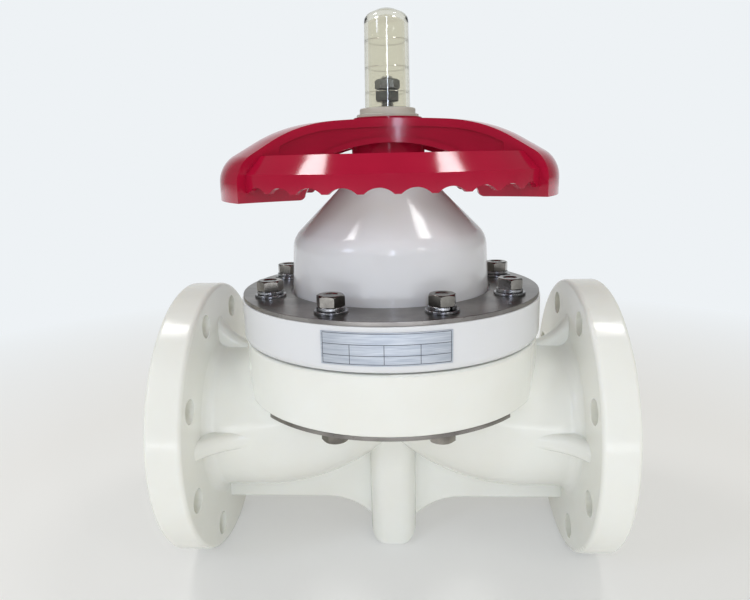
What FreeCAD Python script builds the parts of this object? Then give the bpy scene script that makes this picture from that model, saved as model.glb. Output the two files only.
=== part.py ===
import FreeCAD, Part
import math
import os

os.makedirs("parts", exist_ok=True)

# All sizes are in millimetres. Heights are counted from the pipe axis, and every
# piece is lifted by the axis height when it is saved, so the part stands on z = 0.

# Pipe flanges and barrel, 4 inch class 150
face_to_face = 350.0
flange_radius = 114.5
flange_thick = 27.4
flange_edge_round = 3.5
pipe_bolt_circle = 95.25
inlet_bolt_hole = 9.5
outlet_bolt_hole = 9.7
pipe_bolt_count = 8
barrel_radius = 62.0
bore_radius = 49.0
knee_place = 112.0
bend_radius = 101.0
bore_rise = 30.0
hub_fillet = 9.0
gusset_reach = 87.0
gusset_length = 40.0
gusset_round = 6.0
web_round = 3.0
rib_thick = 15.0
rib_fillet = 2.0

# Foot and bottom web
foot_width = 39.4
foot_depth = 52.0
foot_corner = 14.0
foot_round = 13.0
web_drop = 80.0
web_curve = 54.5
web_curve_place = 60.0
web_end_place = 15.0
foot_insert_spacing = 26.0
foot_insert_radius = 6.0
foot_insert_bore = 3.4
foot_insert_length = 15.0

# Body flange, weir and diaphragm seat
body_flange_radius = 120.0
body_flange_bottom = 31.0
joint_height = 76.6
joint_gap = 0.8
body_edge_round = 2.0
weir_half = 9.0
weir_height = 12.0
dish_radius = 50.0
dish_slope = 55.0
rim_curve = 10.0
sheet_thick = 2.2
cushion_thick = 4.1
diaphragm_radius = 90.0

# Bonnet
bonnet_radius = 122.0
bonnet_top = 110.0
bonnet_edge_round = 6.0
dome_foot_radius = 80.7
dome_side_radius = 79.0
dome_foot_land = 5.0
shoulder_round = 20.0
shoulder_height = 147.0
neck_radius = 36.0
neck_top = 212.0
bonnet_wall = 8.0
bonnet_draft = 1.5
cavity_top = 174.0
housing_floor = 184.0
housing_radius = 26.0
guide_rib_half = 4.0
guide_rib_depth = 18.0
guide_gap = 0.5

# Ring plate, backing plates, nameplate
ring_plate_thick = 3.3
ring_plate_radius = 121.0
ring_plate_hole = 82.8
backing_radius = 119.0
backing_thick = 3.0
backing_chord = 78.0
nameplate_width = 90.0
nameplate_shift = 0.7
nameplate_height = 23.0
nameplate_middle = 94.8
nameplate_thick = 0.8

# Bonnet bolts, M12
bolt_circle = 100.7
bolt_count = 8
bolt_radius = 6.0
bolt_hole = 6.75
bolt_flats = 18.0
bolt_head = 8.0
bolt_dish_radius = 5.6
bolt_dish_depth = 0.8
washer_radius = 12.2
washer_thick = 2.0
spring_washer_radius = 10.2
spring_washer_bore = 6.2
spring_washer_thick = 2.8
spring_washer_split = 2.0
nut_height = 10.6
insert_nut_radius = 8.4
insert_nut_top = 68.0
insert_nut_length = 24.0

# Stem, compressor and sleeve
stem_radius = 11.0
stem_foot = 62.0
stem_shoulder = 247.0
stem_thread_radius = 5.0
stem_end = 279.0
pin_radius = 4.0
pin_length = 37.0
pin_height = 84.0
stud_radius = 5.0
stud_head_radius = 8.0
stud_head_thick = 3.0
stud_top = 46.0
boss_radius = 12.0
boss_height = 10.6
compressor_radius = 58.0
compressor_disc_bottom = 75.0
compressor_disc_thick = 9.0
compressor_boss_radius = 20.0
compressor_boss_top = 100.0
compressor_grip_radius = 46.0
fin_count = 8
fin_thick = 6.0
sleeve_foot = 178.0
sleeve_foot_radius = 16.0
collar_radius = 25.0
collar_bottom = 187.0
collar_thick = 8.0
sleeve_middle_radius = 18.5
sleeve_step = 213.5
sleeve_seat_radius = 15.5
sleeve_nut_step = 236.0
sleeve_nut_radius = 13.5
sleeve_top = 245.5
thrust_thick = 3.0
gland_top = 212.6
seal_height = 205.0
seal_section = 1.6

# Handwheel
wheel_turn = 4.5
wheel_radius = 132.5
wheel_bottom = 188.5
wheel_wall = 5.0
arch_waist = 42.0
arch_side_curve = 177.0
arch_top = 246.8
crown_edge = 62.0
crown_drop = 2.7
arch_deep = 18.4
opening_half = 60.0
opening_bow = 46.0
bow_drop = 9.0
spine_thick = 5.0
block_round = 4.0
hub_radius = 29.0
hub_pad_radius = 27.0
hub_pad_top = 248.0
hub_recess_radius = 22.5
panel_depth = 1.6
panel_border = 6.0
panel_half = 79.0
panel_lip = 4.0
rim_radius = 126.0
rim_bottom = 195.5
rim_crease = 208.0
rim_top = 220.3
rim_top_outer = 114.0
rim_top_inner = 106.5
rim_inner_radius = 103.0
rim_inner_bottom = 203.0
rim_wall = 4.0
scallop_count = 34
scallop_side = 10
scallop_radius = 13.3
scallop_depth = 4.0
key_width = 4.0
key_bottom = 216.0
key_top = 234.0
key_inner = 13.2
key_outer = 17.4
ring_nut_radius = 21.0
ring_nut_thick = 8.0
gasket_thick = 1.0

# Indicator cap and stop nuts
cap_wall = 2.9
cap_foot_radius = 24.5
cap_foot_top = 250.5
cap_flange_radius = 22.0
cap_flange_top = 255.0
cap_tube_radius = 17.8
cap_tube_top_radius = 17.0
cap_crown_edge = 11.0
cap_crown_drop = 3.0
cap_top = 328.6
spigot_radius = 21.8
stop_nut_flats = 17.0
lower_nut_bottom = 260.1
lower_nut_thick = 8.9
upper_nut_thick = 7.8
fit_gap = 0.05
insert_gap = 0.1
soft_gap = 0.3

axis_height = flange_radius

# How far the middle of a quarter round of radius 1 stands from its two tangents
arc_drop = 1 - math.sqrt(0.5)
up = FreeCAD.Vector(0, 0, 1)
pipe_way = FreeCAD.Vector(1, 0, 0)
across_way = FreeCAD.Vector(0, 1, 0)
origin = FreeCAD.Vector(0, 0, 0)


def point(x, z):
    return FreeCAD.Vector(x, 0, z)


def disc(radius, bottom, top):
    return Part.makeCylinder(radius, top - bottom, FreeCAD.Vector(0, 0, bottom))


def ring(outer, inner, bottom, top):
    return disc(outer, bottom, top).cut(disc(inner, bottom - 1, top + 1))


def along_pipe(radius, start, end):
    return Part.makeCylinder(radius, end - start, FreeCAD.Vector(start, 0, 0), pipe_way)


def cross_pin(radius, length):
    return Part.makeCylinder(radius, length, FreeCAD.Vector(-length / 2, 0, pin_height), pipe_way)


def block(x0, x1, y0, y1, z0, z1):
    return Part.makeBox(x1 - x0, y1 - y0, z1 - z0, FreeCAD.Vector(x0, y0, z0))


def outline(pieces):
    # Joins corners and three-point arcs, in order, into one closed face.
    edges = []
    last = None
    first = None
    for piece in pieces:
        start = piece[0]
        if last is not None and last.distanceToPoint(start) > 0.001:
            edges.append(Part.makeLine(last, start))
        if len(piece) == 3:
            edges.append(Part.Arc(*piece).toShape())
        first = first or start
        last = piece[-1]
    if last.distanceToPoint(first) > 0.001:
        edges.append(Part.makeLine(last, first))
    return Part.Face(Part.Wire(edges))


def turned(pieces):
    return outline(pieces).revolve(origin, up, 360)


def slab(pieces, half):
    face = outline(pieces)
    face.translate(FreeCAD.Vector(0, -half, 0))
    return face.extrude(FreeCAD.Vector(0, 2 * half, 0))


def corners(*pairs):
    return [(point(x, z),) for x, z in pairs]


# An arc from the top on the axis down to its edge, with its centre on the axis
def crown_arc(top, edge, drop):
    reach = (edge ** 2 + drop ** 2) / (2 * drop)
    middle_drop = reach - math.sqrt(reach ** 2 - edge ** 2 / 4)
    return (point(0, top), point(edge / 2, top - middle_drop), point(edge, top - drop))


def hexagon(flats, bottom, top):
    reach = flats / math.sqrt(3)
    ends = [FreeCAD.Vector(reach * math.cos(k * math.pi / 3), reach * math.sin(k * math.pi / 3), bottom)
            for k in range(7)]
    return Part.Face(Part.makePolygon(ends)).extrude(FreeCAD.Vector(0, 0, top - bottom))


def at_angle(shape, radius, angle):
    copy = shape.copy()
    copy.translate(FreeCAD.Vector(radius, 0, 0))
    copy.rotate(origin, up, angle)
    return copy


def spread(shape, radius, angles):
    return [at_angle(shape, radius, angle) for angle in angles]


def fuse_all(shapes):
    return shapes[0].multiFuse(shapes[1:])


def cut_all(shape, tools):
    return shape.cut(fuse_all(tools)) if len(tools) > 1 else shape.cut(tools[0])


def both_ways(shape):
    return shape.fuse(shape.mirror(origin, pipe_way))


def round_edges(shape, radius, chosen):
    edges = [edge for edge in shape.Edges if chosen(edge)]
    return shape.makeFillet(radius, edges)


def save(name, shape):
    piece = Part.makeCompound(shape) if isinstance(shape, list) else shape
    piece = piece.copy()
    piece.translate(FreeCAD.Vector(0, 0, axis_height))
    piece.exportStep("parts/" + name + ".step")
    solids = piece.Solids
    volume = round(sum(solid.Volume for solid in solids))
    print(name, "solids", len(solids), "volume", volume, "valid", piece.isValid())


bolt_angles = [(k + 0.5) * 360.0 / bolt_count for k in range(bolt_count)]
through_angles = [a for a in bolt_angles if abs(math.sin(math.radians(a))) > 0.7]
side_angles = [a for a in bolt_angles if a not in through_angles]
insert_nut_bottom = insert_nut_top - insert_nut_length


# Diaphragm section: dished middle, straight flank, rolled rim. The under side is
# layer 0, and every other layer is the same line moved outwards by its thickness.
def dish_line(layer, end_radius):
    slope = math.radians(dish_slope)
    dish_middle = weir_height + dish_radius
    seat = joint_height - sheet_thick - soft_gap - cushion_thick
    flank_foot = (dish_radius * math.sin(slope), dish_middle - dish_radius * math.cos(slope))
    flank_rise = seat - rim_curve * (1 - math.cos(slope)) - flank_foot[1]
    rim_place = flank_foot[0] + flank_rise / math.tan(slope) + rim_curve * math.sin(slope)
    rim_middle = seat - rim_curve

    def low(angle):
        reach = dish_radius - layer
        return point(reach * math.sin(angle), dish_middle - reach * math.cos(angle))

    def high(angle):
        reach = rim_curve + layer
        return point(rim_place - reach * math.sin(angle), rim_middle + reach * math.cos(angle))

    return [(low(0), low(slope / 2), low(slope)), (high(slope), high(slope / 2), high(0)),
            (point(end_radius, seat + layer),)]


def dish_sheet(inner_layer, outer_layer, radius):
    above = dish_line(outer_layer, radius)
    back = [tuple(reversed(piece)) for piece in reversed(above)]
    return turned(dish_line(inner_layer, radius) + back)


# Everything above the under side of the diaphragm, up to the joint
def dish_space(layer, radius, top):
    return turned(dish_line(layer, radius) + [(point(radius, top),), (point(0, top),)])


def make_body():
    half = face_to_face / 2
    inner_face = half - flange_thick
    flange = along_pipe(flange_radius, inner_face, half)
    flange = round_edges(flange, flange_edge_round, lambda e: len(e.Vertexes) == 1 and e.Length > 1)

    # The pipe turns up towards the seat. A sweep of 90 degrees makes the bowl outside,
    # and a smaller one is followed by a straight climb, for the passage inside.
    def elbow(radius, end, stop, sweep):
        lean = math.radians(sweep)
        section = Part.Face(Part.Wire(Part.makeCircle(radius, point(knee_place, 0), pipe_way)))
        bend = section.revolve(point(knee_place, bend_radius), across_way, sweep)
        pieces = [along_pipe(radius, knee_place, end), bend]
        if sweep < 90:
            bend_end = point(knee_place - bend_radius * math.sin(lean), bend_radius * (1 - math.cos(lean)))
            climb = point(-math.cos(lean), math.sin(lean))
            pieces.append(Part.makeCylinder(radius, 2 * knee_place, bend_end, climb))
        room = block(stop, end + 1, -radius - 1, radius + 1, -radius - 1, joint_height - joint_gap)
        return fuse_all(pieces).common(room)

    fillet_drop = hub_fillet * arc_drop
    fillet_ring = outline([(point(inner_face, barrel_radius - 2),),
                           (point(inner_face, barrel_radius + hub_fillet),
                            point(inner_face - fillet_drop, barrel_radius + fillet_drop),
                            point(inner_face - hub_fillet, barrel_radius)),
                           (point(inner_face - hub_fillet, barrel_radius - 2),)])
    fillet_ring = fillet_ring.revolve(origin, pipe_way, 360)
    # The edge of a gusset is a hollow arc that runs out level on the barrel
    gusset_rise = gusset_reach - barrel_radius
    gusset_arc = (gusset_length ** 2 + gusset_rise ** 2) / (2 * gusset_rise)
    gusset_foot = inner_face - gusset_length
    arc_half = math.asin(gusset_length / gusset_arc) / 2
    arc_middle = point(gusset_foot + gusset_arc * math.sin(arc_half),
                       barrel_radius + gusset_arc * (1 - math.cos(arc_half)))
    gusset = slab(corners((inner_face + 1, 0), (inner_face + 1, gusset_reach))
                  + [(point(inner_face, gusset_reach), arc_middle, point(gusset_foot, barrel_radius))]
                  + corners((gusset_foot, 0)), rib_thick / 2)

    def slanted(edge):
        box = edge.BoundBox
        return box.YLength < 1 and box.ZMin > barrel_radius - 1 and box.XLength > 2

    gusset = round_edges(gusset, gusset_round, slanted)
    gussets = [gusset]
    for angle in (90, -90):
        copy = gusset.copy()
        copy.rotate(origin, pipe_way, angle)
        gussets.append(copy)
    arm = elbow(barrel_radius, inner_face + 1, 0, 90)

    floor = -axis_height
    curve_middle = -web_drop - web_curve
    lean = math.acos((web_curve_place - web_end_place) / web_curve)
    web_end = point(web_end_place, curve_middle + web_curve * math.sin(lean))
    lean = (lean + math.pi / 2) / 2
    # The upper line of the web runs inside the walls, clear of the passage
    rib_half = rib_thick / 2
    web_root = bore_radius + 6
    half_way = point(web_curve_place - web_curve * math.cos(lean), curve_middle + web_curve * math.sin(lean))
    web = slab([(point(0, -20),), (point(0, web_end.z),),
                (web_end, half_way, point(web_curve_place, -web_drop)),
                (point(inner_face + 1, -web_drop),), (point(inner_face + 1, -web_root),),
                (point(web_curve_place, 10 - web_root),)], rib_half)
    crease = -math.sqrt(barrel_radius ** 2 - rib_half ** 2)

    def under_barrel(edge):
        box = edge.BoundBox
        level = box.XMin > knee_place - 1 and box.ZLength < 0.1 and abs(box.ZMin - crease) < 0.1
        rising = box.XMin < weir_half and box.XMax > knee_place - 1
        return box.YLength < 0.1 and abs(abs(box.YMin) - rib_half) < 0.1 and (level or rising)

    def web_bottom(edge):
        box = edge.BoundBox
        return (box.YLength < 0.1 and abs(abs(box.YMin) - rib_half) < 0.1 and box.ZMin > floor - 1
                and box.ZMax < 0.1 - web_drop and box.XMin > web_end_place - 1)

    arm = round_edges(arm.fuse(web), rib_fillet, under_barrel)
    arm = round_edges(arm, web_round, web_bottom)
    side = fuse_all([arm, flange, fillet_ring] + gussets)
    foot_half = foot_width / 2
    foot = block(-foot_half, foot_half, -foot_depth / 2, foot_depth / 2, floor, 0)
    foot = round_edges(foot, foot_corner, lambda e: e.BoundBox.ZLength > foot_depth)
    foot_drop = foot_round * arc_drop
    right_arc = (point(foot_half, floor + foot_round), point(foot_half - foot_drop, floor + foot_drop),
                 point(foot_half - foot_round, floor))
    left_arc = tuple(point(-place.x, place.z) for place in reversed(right_arc))
    foot = foot.common(slab([(point(-foot_half, 0),), (point(foot_half, 0),), right_arc, left_arc],
                            foot_depth))
    disc_flange = disc(body_flange_radius, body_flange_bottom, joint_height - joint_gap)
    disc_flange = round_edges(disc_flange, body_edge_round, lambda e: len(e.Vertexes) == 1 and e.Length > 1)
    body = fuse_all([side, side.mirror(origin, pipe_way), foot, disc_flange])

    passage = both_ways(elbow(bore_radius, half + 1, weir_half, bore_rise))
    body = body.cut(passage)
    body = body.cut(dish_space(-soft_gap, diaphragm_radius + soft_gap, joint_height))
    pipe_holes = []
    for k in range(pipe_bolt_count):
        angle = (k + 0.5) * 360.0 / pipe_bolt_count
        for hole in (along_pipe(outlet_bolt_hole, inner_face - 3, half + 1),
                     along_pipe(inlet_bolt_hole, -half - 1, 3 - inner_face)):
            hole.translate(FreeCAD.Vector(0, 0, pipe_bolt_circle))
            hole.rotate(origin, pipe_way, angle)
            pipe_holes.append(hole)
    body = cut_all(body, pipe_holes)
    through = disc(bolt_hole, body_flange_bottom - 1, joint_height)
    pocket = disc(bolt_hole, insert_nut_bottom - 4, joint_height)
    pocket = pocket.fuse(disc(insert_nut_radius + insert_gap, insert_nut_bottom, insert_nut_top))
    body = cut_all(body, spread(through, bolt_circle, through_angles))
    body = cut_all(body, spread(pocket, bolt_circle, side_angles))
    inserts = [foot_insert(place, foot_insert_radius + insert_gap) for place in (-1, 1)]
    return cut_all(body, inserts).removeSplitter()


def foot_insert(place, radius):
    bottom = -axis_height
    return Part.makeCylinder(radius, foot_insert_length,
                             FreeCAD.Vector(0, place * foot_insert_spacing / 2, bottom))


def make_bonnet():
    slope = math.radians(45)
    turn_x = dome_side_radius - shoulder_round
    turn_end = shoulder_round * math.sin(slope)
    cone_foot = (turn_x + turn_end, shoulder_height + turn_end)
    cone_sum = cone_foot[0] + cone_foot[1]
    edge = bonnet_edge_round
    half_turned = point(turn_x + shoulder_round * math.cos(slope / 2),
                        shoulder_height + shoulder_round * math.sin(slope / 2))
    outer = turned(
        corners((0, joint_height))
        + [(point(bonnet_radius - edge, joint_height),
            point(bonnet_radius - edge * arc_drop, joint_height + edge * arc_drop),
            point(bonnet_radius, joint_height + edge))]
        + corners((bonnet_radius, bonnet_top), (dome_foot_radius, bonnet_top),
                  (dome_foot_radius, bonnet_top + dome_foot_land))
        + [(point(dome_side_radius, shoulder_height), half_turned, point(*cone_foot))]
        + corners((neck_radius, cone_sum - neck_radius), (neck_radius, neck_top), (0, neck_top)))
    inner_radius = dome_foot_radius - bonnet_wall
    inner_top = inner_radius - bonnet_draft
    inner_sum = cone_sum - bonnet_wall * math.sqrt(2)
    hollow = turned(corners((0, joint_height - 1), (inner_radius, joint_height - 1),
                            (inner_top, inner_sum - inner_top),
                            (inner_sum - cavity_top, cavity_top), (0, cavity_top)))
    rib = block(-guide_rib_half, guide_rib_half, inner_radius - guide_rib_depth, inner_radius + 3,
                joint_height, shoulder_height)
    bonnet = outer.cut(hollow).fuse(fuse_all([rib, rib.mirror(origin, across_way)]))
    bonnet = bonnet.cut(disc(sleeve_foot_radius + soft_gap, cavity_top - 1, housing_floor + 1))
    bonnet = bonnet.cut(disc(housing_radius, housing_floor, neck_top + 1))
    hole = disc(bolt_hole, joint_height - 1, bonnet_top + 1)
    return cut_all(bonnet, spread(hole, bolt_circle, bolt_angles))


plate_top = bonnet_top + ring_plate_thick
head_bottom = plate_top + washer_thick + spring_washer_thick


def make_bolt(end):
    head_top = head_bottom + bolt_head
    bolt = hexagon(bolt_flats, head_bottom, head_top).fuse(disc(bolt_radius, end, head_bottom))
    return bolt.cut(disc(bolt_dish_radius, head_top - bolt_dish_depth, head_top + 1))


def make_backing_plate():
    plate = disc(backing_radius, body_flange_bottom - backing_thick, body_flange_bottom)
    plate = plate.cut(block(-200, 200, -backing_chord, 200, 0, 50))
    front_angles = [angle for angle in through_angles if angle > 180]
    return cut_all(plate, spread(disc(bolt_hole, 0, 50), bolt_circle, front_angles))


def make_nameplate():
    half_angle = math.degrees(nameplate_width / 2 / bonnet_radius)
    back = bonnet_radius + insert_gap
    front = back + nameplate_thick
    bottom = nameplate_middle - nameplate_height / 2
    top = nameplate_middle + nameplate_height / 2
    face = outline(corners((back, bottom), (front, bottom), (front, top), (back, top)))
    face.rotate(origin, up, math.degrees(nameplate_shift / bonnet_radius) - 90 - half_angle)
    return face.revolve(origin, up, 2 * half_angle)


def make_compressor():
    layer = sheet_thick + soft_gap + cushion_thick + soft_gap
    top = compressor_disc_bottom + 1
    space = dish_space(layer, compressor_radius, top)
    grip = space.common(disc(compressor_boss_radius, 0, top))
    fin = space.common(block(0, compressor_grip_radius, -fin_thick / 2, fin_thick / 2, 0, top))
    fins = [at_angle(fin, 0, k * 360.0 / fin_count) for k in range(fin_count)]
    plate = disc(compressor_radius, compressor_disc_bottom, compressor_disc_bottom + compressor_disc_thick)
    boss = disc(compressor_boss_radius, compressor_disc_bottom, compressor_boss_top)
    body = fuse_all([grip, plate, boss] + fins)
    slot_half = guide_rib_half + guide_gap
    slot_floor = dome_foot_radius - bonnet_wall - guide_rib_depth - guide_gap
    slot = block(-slot_half, slot_half, slot_floor, compressor_radius + 1, 0, compressor_boss_top)
    body = cut_all(body, [slot, slot.mirror(origin, across_way)])
    body = body.cut(disc(stem_radius + fit_gap, stem_foot, compressor_boss_top + 1))
    body = body.cut(cross_pin(pin_radius + fit_gap, 2 * compressor_boss_radius + 1))
    body = body.cut(disc(boss_radius + soft_gap, 0, weir_height + boss_height + soft_gap))
    return body.cut(disc(stud_radius + fit_gap, weir_height, stud_top + soft_gap))


def make_stem():
    stem = disc(stem_radius, stem_foot, stem_shoulder)
    stem = stem.fuse(disc(stem_thread_radius, stem_shoulder, stem_end))
    return stem.cut(cross_pin(pin_radius + fit_gap, 3 * stem_radius))


def make_sleeve():
    collar_top = collar_bottom + collar_thick
    sleeve = fuse_all([disc(sleeve_foot_radius, sleeve_foot, collar_bottom),
                       disc(collar_radius, collar_bottom, collar_top),
                       disc(sleeve_middle_radius, collar_top, sleeve_step),
                       disc(sleeve_seat_radius, sleeve_step, sleeve_nut_step),
                       disc(sleeve_nut_radius, sleeve_nut_step, sleeve_top)])
    sleeve = sleeve.cut(disc(stem_radius + fit_gap, sleeve_foot - 1, sleeve_top + 1))
    return sleeve.cut(turn_wheel(key_block(key_outer)))


def key_block(outer):
    return block(key_inner, outer, -key_width / 2, key_width / 2, key_bottom, key_top)


def turn_wheel(shape):
    return at_angle(shape, 0, wheel_turn)


# The arch is a slice of one shallow dome. Its section is three arcs and a straight
# flank, and an inner surface is the same section drawn smaller by the wall.
def dome_form(inset, bottom):
    def shrink(p1, p2, p3):
        circle = Part.Arc(p1, p2, p3).toShape().Curve
        middle, reach = circle.Center, circle.Radius
        return tuple(middle + (p - middle) * ((reach - inset) / reach) for p in (p1, p2, p3))

    crown = crown_arc(arch_top - inset, crown_edge, crown_drop)
    haunch = shrink(point(crown_edge, arch_top - crown_drop), point(86, arch_top - 7.9),
                    point(104, arch_top - 16))
    edge = shrink(point(122, arch_top - 26.4), point(wheel_radius - 2.6, arch_top - 35.2),
                  point(wheel_radius, arch_top - 46))
    return turned([crown, haunch, edge, (point(wheel_radius - inset, bottom),), (point(0, bottom),)])


# The opening under the arch, seen from the side: a flat bow with rounded ends
def under_arch(lift):
    top = arch_top - arch_deep + lift
    side = opening_half - lift
    shoulder = wheel_bottom + 20 + lift
    right_end = (point(opening_bow, top - bow_drop), point(opening_half - 5, shoulder),
                 point(side, wheel_bottom + 10))
    left_end = tuple(point(-place.x, place.z) for place in reversed(right_end))
    mouth = side + 3
    corner_drop = block_round * arc_drop
    right_corner = (point(mouth, wheel_bottom + block_round),
                    point(mouth + corner_drop, wheel_bottom + corner_drop),
                    point(mouth + block_round, wheel_bottom))
    left_corner = tuple(point(-place.x, place.z) for place in reversed(right_corner))
    return slab([(point(-mouth - block_round, wheel_bottom - 20),), left_corner, left_end,
                 (point(-opening_bow, top - bow_drop), point(0, top), point(opening_bow, top - bow_drop)),
                 right_end, right_corner, (point(mouth + block_round, wheel_bottom - 20),)],
                wheel_radius + 5)


def make_handwheel():
    waist_place = arch_waist + arch_side_curve
    half_wheel = wheel_radius + 5
    block_top = wheel_bottom + 14

    def pinched(form, extra):
        side = disc(arch_side_curve + extra, wheel_bottom - 20, arch_top + 20)
        return cut_all(form, [at_angle(side, waist_place, angle) for angle in (90, -90)])

    arch = pinched(dome_form(0, wheel_bottom), 0)
    inside = pinched(dome_form(wheel_wall, wheel_bottom - 5), wheel_wall)
    spine_half = spine_thick / 2
    spine = inside.common(block(-half_wheel, half_wheel, -spine_half, spine_half, block_top, arch_top))
    spine = spine.cut(under_arch(8))
    shell = arch.cut(inside).cut(under_arch(0))
    window = block(-panel_half, panel_half, -half_wheel, half_wheel, block_top, arch_top)
    panel = dome_form(panel_border, wheel_bottom).common(window).cut(under_arch(panel_lip))
    panel = panel.cut(pinched(arch, panel_depth))
    shell = shell.cut(panel)

    inner_wall = rim_inner_radius + rim_wall
    rim = turned(corners((rim_radius, rim_bottom), (rim_radius, rim_crease), (rim_top_outer, rim_top),
                         (rim_top_inner, rim_top), (rim_inner_radius, rim_top - rim_wall),
                         (rim_inner_radius, rim_inner_bottom), (inner_wall, rim_inner_bottom),
                         (inner_wall, rim_top - rim_wall - 2), (inner_wall + 2, rim_top - rim_wall),
                         (rim_top_outer - 2, rim_top - rim_wall), (rim_radius - rim_wall, rim_crease - 2),
                         (rim_radius - rim_wall, rim_bottom)))
    rim = rim.cut(arch)
    # Finger scallops along the open rim on both sides, none behind the ends of the arch
    bite = along_pipe(scallop_radius, rim_radius - 2 * rim_wall, rim_radius + rim_wall)
    bite.translate(FreeCAD.Vector(0, 0, rim_bottom + scallop_depth - scallop_radius))
    step = 360.0 / scallop_count
    places = [side + (k - scallop_side / 2 + 0.5) * step for side in (90, -90) for k in range(scallop_side)]
    rim = cut_all(rim, spread(bite, 0, places))
    hub = disc(hub_radius, sleeve_step, arch_top - 3)
    hub = hub.fuse(disc(hub_pad_radius, arch_top - 4, hub_pad_top))
    wheel = fuse_all([shell, spine, rim, hub])
    wheel = wheel.cut(disc(sleeve_seat_radius + insert_gap, sleeve_step - 1, hub_pad_top))
    wheel = wheel.cut(disc(hub_recess_radius, sleeve_nut_step, hub_pad_top + 1))
    return turn_wheel(wheel.cut(key_block(key_outer + insert_gap)))


def make_cap():
    mouth = sleeve_top + gasket_thick

    crown_reach = (cap_crown_edge ** 2 + cap_crown_drop ** 2) / (2 * cap_crown_drop)
    lean = math.pi / 2 - math.asin(cap_crown_edge / crown_reach)
    corner_reach = (cap_tube_top_radius - cap_crown_edge) / (1 - math.cos(lean))
    corner_z = cap_top - cap_crown_drop - corner_reach * math.sin(lean)

    def bend(x, z, reach, start, end):
        turns = (start, (start + end) / 2, end)
        return tuple(point(x + reach * math.cos(turn), z + reach * math.sin(turn)) for turn in turns)

    def domed_end(inset):
        return [bend(cap_tube_top_radius - corner_reach, corner_z, corner_reach - inset, 0, lean),
                bend(0, cap_top - crown_reach, crown_reach - inset, lean, math.pi / 2)]

    outer = turned(corners((0, mouth), (spigot_radius, mouth), (spigot_radius, hub_pad_top),
                           (cap_foot_radius, hub_pad_top), (cap_foot_radius, cap_foot_top),
                           (cap_flange_radius, cap_foot_top), (cap_flange_radius, cap_flange_top),
                           (cap_tube_radius, cap_flange_top))
                   + domed_end(0))
    inner = turned(corners((0, mouth - 1), (cap_tube_radius - cap_wall, mouth - 1)) + domed_end(cap_wall))
    return outer.cut(inner)


def make_stop_nut(bottom, thick, turn):
    nut = hexagon(stop_nut_flats, bottom, bottom + thick)
    return at_angle(nut.cut(disc(stem_thread_radius + fit_gap, bottom - 1, bottom + thick + 1)), 0, turn)


save("valve_body", make_body())
save("foot_inserts", [foot_insert(place, foot_insert_radius).cut(foot_insert(place, foot_insert_bore))
                      for place in (-1, 1)])

boss_top = weir_height + boss_height
stud_seat = weir_height + sheet_thick + 1.2
stud_head_top = stud_seat + stud_head_thick
sheet = dish_sheet(0, sheet_thick, diaphragm_radius).fuse(disc(boss_radius, weir_height + 1, boss_top))
sheet = sheet.cut(disc(stud_head_radius + soft_gap, stud_seat - soft_gap, stud_head_top + soft_gap))
sheet = sheet.cut(disc(stud_radius + soft_gap, stud_seat, boss_top + 1))
save("diaphragm", sheet)
cushion_foot = sheet_thick + soft_gap
cushion = dish_sheet(cushion_foot, cushion_foot + cushion_thick, diaphragm_radius)
save("diaphragm_cushion", cushion.cut(disc(boss_radius + soft_gap, 0, joint_height)))
stud_head = disc(stud_head_radius, stud_seat, stud_head_top)
save("diaphragm_stud", stud_head.fuse(disc(stud_radius, stud_seat, stud_top)))
save("compressor", make_compressor())
save("compressor_pin", cross_pin(pin_radius, pin_length))
save("stem", make_stem())
save("bonnet", make_bonnet())

ring_plate = ring(ring_plate_radius, ring_plate_hole, bonnet_top, plate_top)
plate_hole = disc(bolt_hole, bonnet_top - 1, plate_top + 1)
save("bonnet_ring_plate", cut_all(ring_plate, spread(plate_hole, bolt_circle, bolt_angles)))
front_plate = make_backing_plate()
save("backing_plates", [front_plate, front_plate.mirror(origin, across_way)])
nut_bottom = body_flange_bottom - backing_thick - nut_height
save("bonnet_bolts", spread(make_bolt(nut_bottom), bolt_circle, through_angles)
     + spread(make_bolt(insert_nut_bottom + 2), bolt_circle, side_angles))
flat_washer = ring(washer_radius, bolt_hole, plate_top, plate_top + washer_thick)
save("flat_washers", spread(flat_washer, bolt_circle, bolt_angles))
spring_washer = ring(spring_washer_radius, spring_washer_bore, plate_top + washer_thick, head_bottom)
split_half = spring_washer_split / 2
spring_washer = spring_washer.cut(block(0, bolt_flats, -split_half, split_half, plate_top, head_bottom + 1))
save("spring_washers", spread(spring_washer, bolt_circle, bolt_angles))
nut = hexagon(bolt_flats, nut_bottom, nut_bottom + nut_height)
nut = nut.cut(disc(bolt_radius + fit_gap, nut_bottom - 1, body_flange_bottom))
save("bonnet_nuts", spread(nut, bolt_circle, through_angles))
insert_nut = ring(insert_nut_radius, bolt_radius + fit_gap, insert_nut_bottom, insert_nut_top)
save("body_insert_nuts", spread(insert_nut, bolt_circle, side_angles))
save("nameplate", make_nameplate())

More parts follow.
